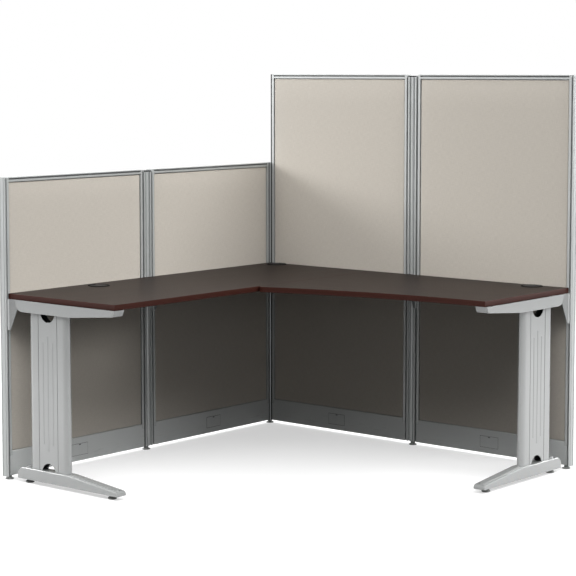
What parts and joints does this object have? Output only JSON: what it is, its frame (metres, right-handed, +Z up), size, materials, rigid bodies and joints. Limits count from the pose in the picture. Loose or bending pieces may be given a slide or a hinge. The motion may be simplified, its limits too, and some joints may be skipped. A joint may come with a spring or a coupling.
{
  "type": "cubicle workstation",
  "caption": "L-shaped cubicle workstation: low and tall fabric panel walls, two joined worktops, C-shaped end legs, raceways and levelling glides.",
  "frame": {"origin": "on the floor, at the centre of the square footprint", "axes": "+Z up; the tall wall stands along X at the +Y side; the low wall stands along Y at the -X side"},
  "size_m": [1.635, 1.635, 1.6],
  "materials": {
    "anodised_aluminium": "satin anodised, light grey",
    "dark_strip": "matte, dark grey",
    "panel_fabric": "woven, warm light grey",
    "raceway_paint": "satin, warm grey",
    "outlet_plastic": "fine matte grain, grey",
    "laminate": "satin dark cherry laminate",
    "edge_plastic": "satin, dark cherry",
    "leg_paint": "satin silver powder coat",
    "black_plastic": "matte black",
    "glide_plastic": "matte grey",
    "cap_plastic": "matte dark grey",
    "zinc_steel": "bright zinc plate"
  },
  "bodies": {
    "workstation": {"corner_post": "anodised_aluminium", "mid_post_low": "anodised_aluminium", "mid_post_tall": "anodised_aluminium", "end_trim_low": "anodised_aluminium", "end_trim_tall": "anodised_aluminium", "corner_strip_low": "dark_strip", "frame_low_inner": "anodised_aluminium", "board_low_inner": "panel_fabric", "frame_low_outer": "anodised_aluminium", "board_low_outer": "panel_fabric", "corner_strip_tall": "dark_strip", "frame_tall_inner": "anodised_aluminium", "board_tall_inner": "panel_fabric", "frame_tall_outer": "anodised_aluminium", "board_tall_outer": "panel_fabric", "worktop_left": "laminate", "edge_band_left": "edge_plastic", "leg_column_left": "leg_paint", "leg_arm_left": "leg_paint", "leg_foot_left": "leg_paint", "bracket_left_mid": "zinc_steel", "bracket_left_end": "zinc_steel", "worktop_right": "laminate", "edge_band_right": "edge_plastic", "leg_column_right": "leg_paint", "leg_arm_right": "leg_paint", "leg_foot_right": "leg_paint", "bracket_right_mid": "zinc_steel", "bracket_right_end": "zinc_steel", "grommet_ring_left": "black_plastic", "grommet_ring_corner": "black_plastic", "grommet_ring_right": "black_plastic", "joining_plates": "zinc_steel", "worktop_screws": "zinc_steel"},
    "wall_glide_corner": {"wall_glide_corner": "glide_plastic"},
    "wall_glide_low_mid": {"wall_glide_low_mid": "glide_plastic"},
    "wall_glide_low_end": {"wall_glide_low_end": "glide_plastic"},
    "wall_glide_tall_mid": {"wall_glide_tall_mid": "glide_plastic"},
    "wall_glide_tall_end": {"wall_glide_tall_end": "glide_plastic"},
    "leg_glide_left_rear": {"leg_glide_left_rear": "glide_plastic"},
    "leg_glide_left_front": {"leg_glide_left_front": "glide_plastic"},
    "leg_glide_right_rear": {"leg_glide_right_rear": "glide_plastic"},
    "leg_glide_right_front": {"leg_glide_right_front": "glide_plastic"},
    "raceway_front_low_inner": {"raceway_front_low_inner": "raceway_paint"},
    "outlet_plate_low_inner": {"outlet_plate_low_inner": "outlet_plastic"},
    "raceway_back_low_inner": {"raceway_back_low_inner": "raceway_paint"},
    "raceway_front_low_outer": {"raceway_front_low_outer": "raceway_paint"},
    "outlet_plate_low_outer": {"outlet_plate_low_outer": "outlet_plastic"},
    "raceway_back_low_outer": {"raceway_back_low_outer": "raceway_paint"},
    "raceway_front_tall_inner": {"raceway_front_tall_inner": "raceway_paint"},
    "outlet_plate_tall_inner": {"outlet_plate_tall_inner": "outlet_plastic"},
    "raceway_back_tall_inner": {"raceway_back_tall_inner": "raceway_paint"},
    "raceway_front_tall_outer": {"raceway_front_tall_outer": "raceway_paint"},
    "outlet_plate_tall_outer": {"outlet_plate_tall_outer": "outlet_plastic"},
    "raceway_back_tall_outer": {"raceway_back_tall_outer": "raceway_paint"},
    "leg_cover_left": {"leg_cover_left": "leg_paint"},
    "leg_cover_right": {"leg_cover_right": "leg_paint"},
    "grommet_cap_left": {"grommet_cap_left": "cap_plastic"},
    "grommet_cap_corner": {"grommet_cap_corner": "cap_plastic"},
    "grommet_cap_right": {"grommet_cap_right": "cap_plastic"}
  },
  "joints": [
    {"name": "wall_glide_corner_screw", "type": "slide", "parent": "workstation", "child": "wall_glide_corner", "axis": [0, 0, -1], "range_m": [0, 0.012]},
    {"name": "wall_glide_low_mid_screw", "type": "slide", "parent": "workstation", "child": "wall_glide_low_mid", "axis": [0, 0, -1], "range_m": [0, 0.012]},
    {"name": "wall_glide_low_end_screw", "type": "slide", "parent": "workstation", "child": "wall_glide_low_end", "axis": [0, 0, -1], "range_m": [0, 0.012]},
    {"name": "wall_glide_tall_mid_screw", "type": "slide", "parent": "workstation", "child": "wall_glide_tall_mid", "axis": [0, 0, -1], "range_m": [0, 0.012]},
    {"name": "wall_glide_tall_end_screw", "type": "slide", "parent": "workstation", "child": "wall_glide_tall_end", "axis": [0, 0, -1], "range_m": [0, 0.012]},
    {"name": "leg_glide_left_rear_screw", "type": "slide", "parent": "workstation", "child": "leg_glide_left_rear", "axis": [0, 0, -1], "range_m": [0, 0.01]},
    {"name": "leg_glide_left_front_screw", "type": "slide", "parent": "workstation", "child": "leg_glide_left_front", "axis": [0, 0, -1], "range_m": [0, 0.01]},
    {"name": "leg_glide_right_rear_screw", "type": "slide", "parent": "workstation", "child": "leg_glide_right_rear", "axis": [0, 0, -1], "range_m": [0, 0.01]},
    {"name": "leg_glide_right_front_screw", "type": "slide", "parent": "workstation", "child": "leg_glide_right_front", "axis": [0, 0, -1], "range_m": [0, 0.01]},
    {"name": "raceway_front_low_inner_clip", "type": "slide", "parent": "workstation", "child": "raceway_front_low_inner", "axis": [1, 0, 0], "range_m": [0, 0.008]},
    {"name": "outlet_plate_low_inner_clip", "type": "slide", "parent": "raceway_front_low_inner", "child": "outlet_plate_low_inner", "axis": [1, 0, 0], "range_m": [0, 0.008]},
    {"name": "raceway_back_low_inner_clip", "type": "slide", "parent": "workstation", "child": "raceway_back_low_inner", "axis": [-1, 0, 0], "range_m": [0, 0.008]},
    {"name": "raceway_front_low_outer_clip", "type": "slide", "parent": "workstation", "child": "raceway_front_low_outer", "axis": [1, 0, 0], "range_m": [0, 0.008]},
    {"name": "outlet_plate_low_outer_clip", "type": "slide", "parent": "raceway_front_low_outer", "child": "outlet_plate_low_outer", "axis": [1, 0, 0], "range_m": [0, 0.008]},
    {"name": "raceway_back_low_outer_clip", "type": "slide", "parent": "workstation", "child": "raceway_back_low_outer", "axis": [-1, 0, 0], "range_m": [0, 0.008]},
    {"name": "raceway_front_tall_inner_clip", "type": "slide", "parent": "workstation", "child": "raceway_front_tall_inner", "axis": [0, -1, 0], "range_m": [0, 0.008]},
    {"name": "outlet_plate_tall_inner_clip", "type": "slide", "parent": "raceway_front_tall_inner", "child": "outlet_plate_tall_inner", "axis": [0, -1, 0], "range_m": [0, 0.008]},
    {"name": "raceway_back_tall_inner_clip", "type": "slide", "parent": "workstation", "child": "raceway_back_tall_inner", "axis": [0, 1, 0], "range_m": [0, 0.008]},
    {"name": "raceway_front_tall_outer_clip", "type": "slide", "parent": "workstation", "child": "raceway_front_tall_outer", "axis": [0, -1, 0], "range_m": [0, 0.008]},
    {"name": "outlet_plate_tall_outer_clip", "type": "slide", "parent": "raceway_front_tall_outer", "child": "outlet_plate_tall_outer", "axis": [0, -1, 0], "range_m": [0, 0.008]},
    {"name": "raceway_back_tall_outer_clip", "type": "slide", "parent": "workstation", "child": "raceway_back_tall_outer", "axis": [0, 1, 0], "range_m": [0, 0.008]},
    {"name": "leg_cover_left_clip", "type": "slide", "parent": "workstation", "child": "leg_cover_left", "axis": [0, -1, 0], "range_m": [0, 0.05]},
    {"name": "leg_cover_right_clip", "type": "slide", "parent": "workstation", "child": "leg_cover_right", "axis": [1, 0, 0], "range_m": [0, 0.05]},
    {"name": "grommet_cap_left_turn", "type": "hinge", "parent": "workstation", "child": "grommet_cap_left", "pos_m": [-0.7, -0.3875, 0.745], "axis": [0, 0, 1], "continuous": true},
    {"name": "grommet_cap_corner_turn", "type": "hinge", "parent": "workstation", "child": "grommet_cap_corner", "pos_m": [-0.7, 0.7305, 0.745], "axis": [0, 0, 1], "continuous": true},
    {"name": "grommet_cap_right_turn", "type": "hinge", "parent": "workstation", "child": "grommet_cap_right", "pos_m": [0.6615, 0.7305, 0.745], "axis": [0, 0, 1], "continuous": true}
  ]
}
